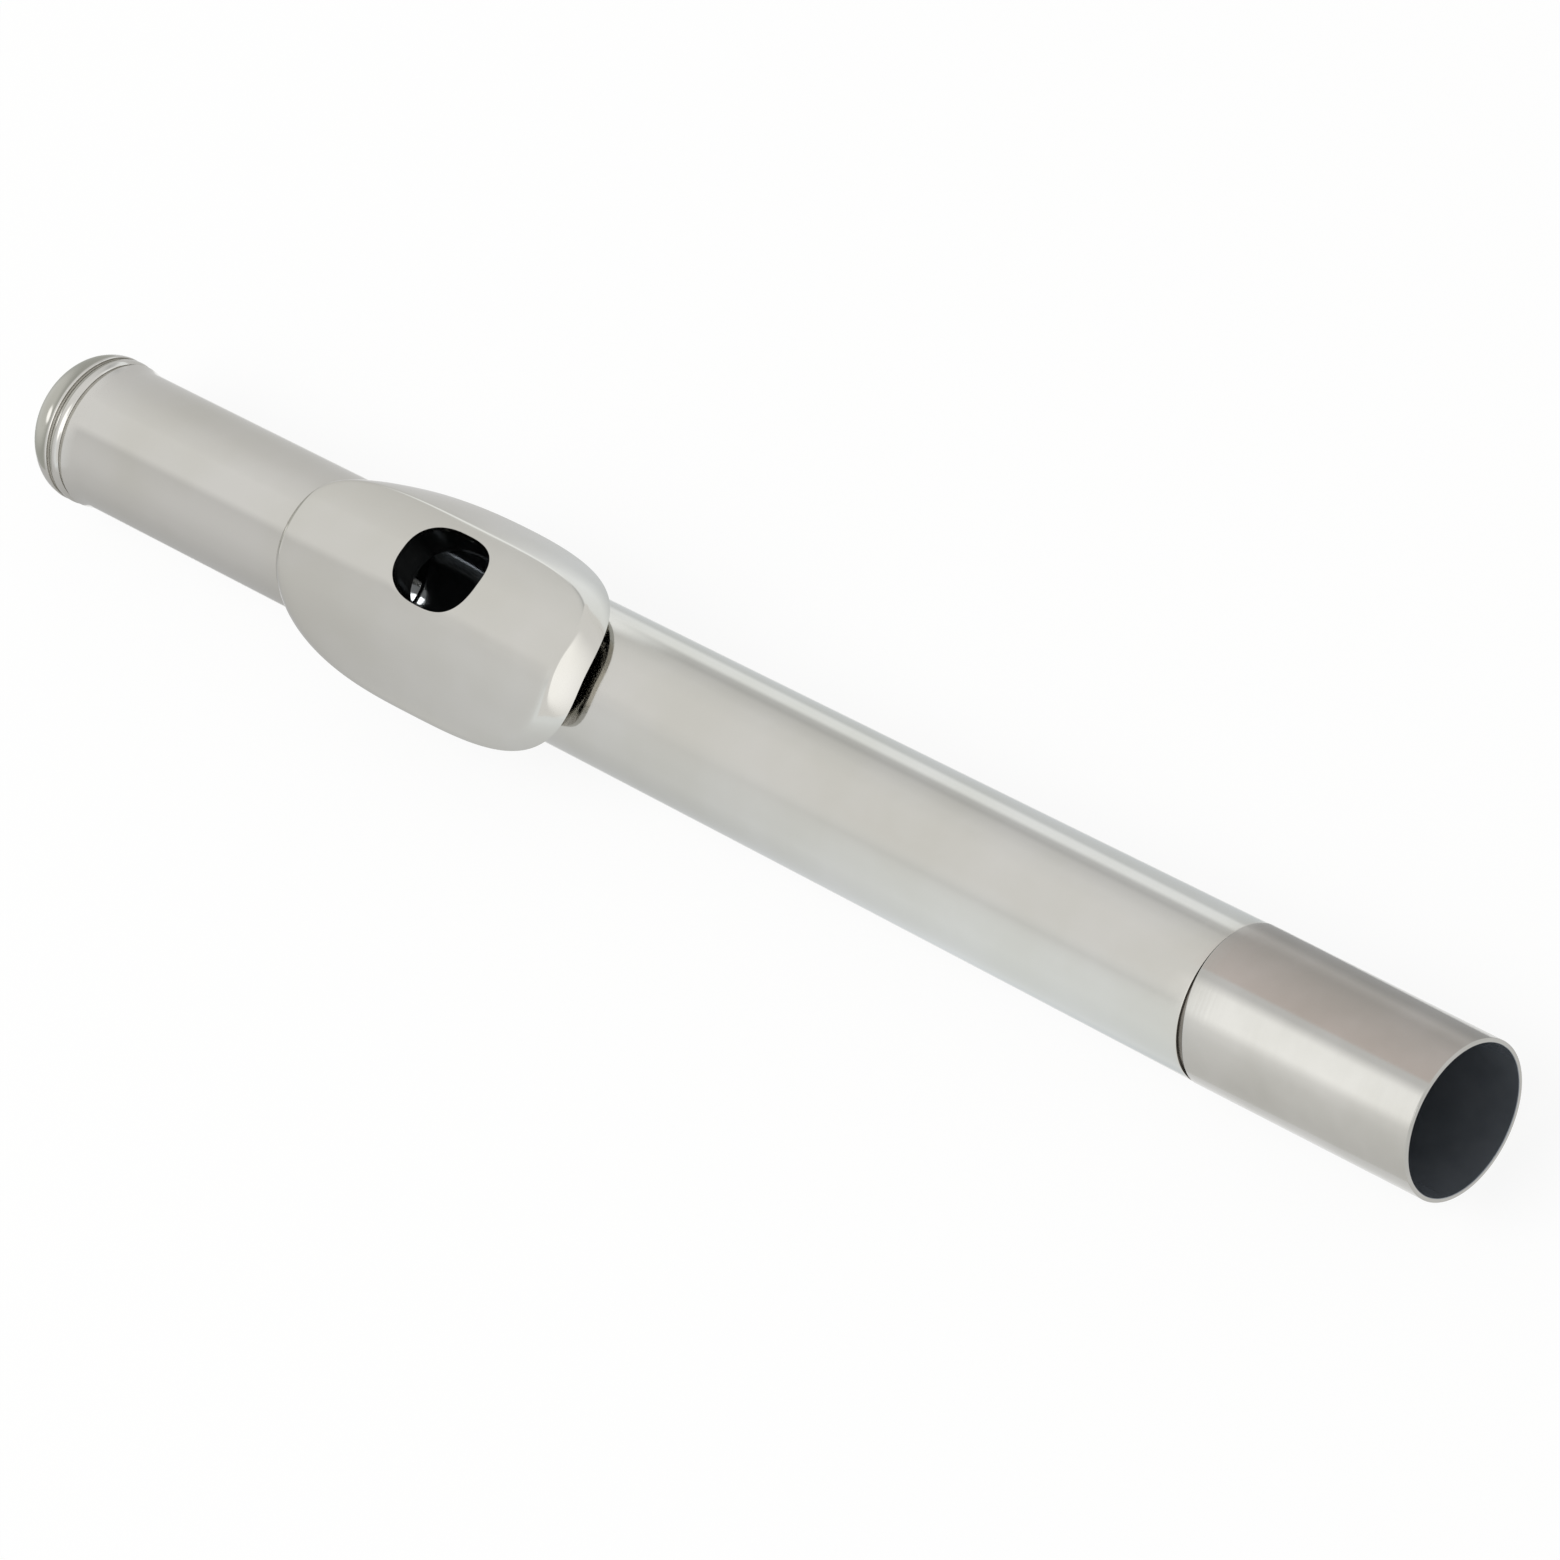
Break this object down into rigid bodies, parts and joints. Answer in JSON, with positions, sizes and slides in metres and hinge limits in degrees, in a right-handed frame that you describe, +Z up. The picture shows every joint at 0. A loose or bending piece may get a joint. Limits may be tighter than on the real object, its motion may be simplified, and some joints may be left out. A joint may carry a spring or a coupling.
{
  "type": "flute head joint",
  "caption": "Head joint of a concert flute: tapered plated tube with a lip plate over its mouth hole, a bare tenon at the open end and a crown whose screw draws the cork stopper.",
  "frame": {"origin": "under the middle of the head joint's box, at the level of the tenon's lowest line", "axes": "+X along the bore from the crown to the open tenon end, +Z up through the mouth hole, -Y the lip side of the plate"},
  "size_m": [0.225, 0.026, 0.0237],
  "materials": {
    "silver_plate": "polished silver plate",
    "nickel_silver": "bare polished nickel silver",
    "brass": "turned brass",
    "cork": "greased natural cork"
  },
  "bodies": {
    "head": {"head_tube": "silver_plate", "tenon_sleeve": "nickel_silver", "riser": "silver_plate", "lip_plate": "silver_plate"},
    "crown": {"crown_cap": "silver_plate", "crown_bush": "brass"},
    "stopper": {"stopper_screw": "brass", "stopper_front_plate": "silver_plate", "stopper_cork": "cork", "stopper_rear_plate": "nickel_silver", "stopper_nut": "brass"}
  },
  "joints": [
    {"name": "crown_turn", "type": "hinge", "parent": "head", "child": "crown", "pos_m": [-0.10355, 0.00133, 0.01], "axis": [1, 0, 0], "range_deg": [-1440, 1440]},
    {"name": "stopper_slide", "type": "slide", "parent": "head", "child": "stopper", "axis": [-1, 0, 0], "range_m": [-0.003, 0.003]}
  ],
  "couplings": [
    {"joint": "stopper_slide", "follows": "crown_turn", "m_per_rad": 0.00011937}
  ]
}
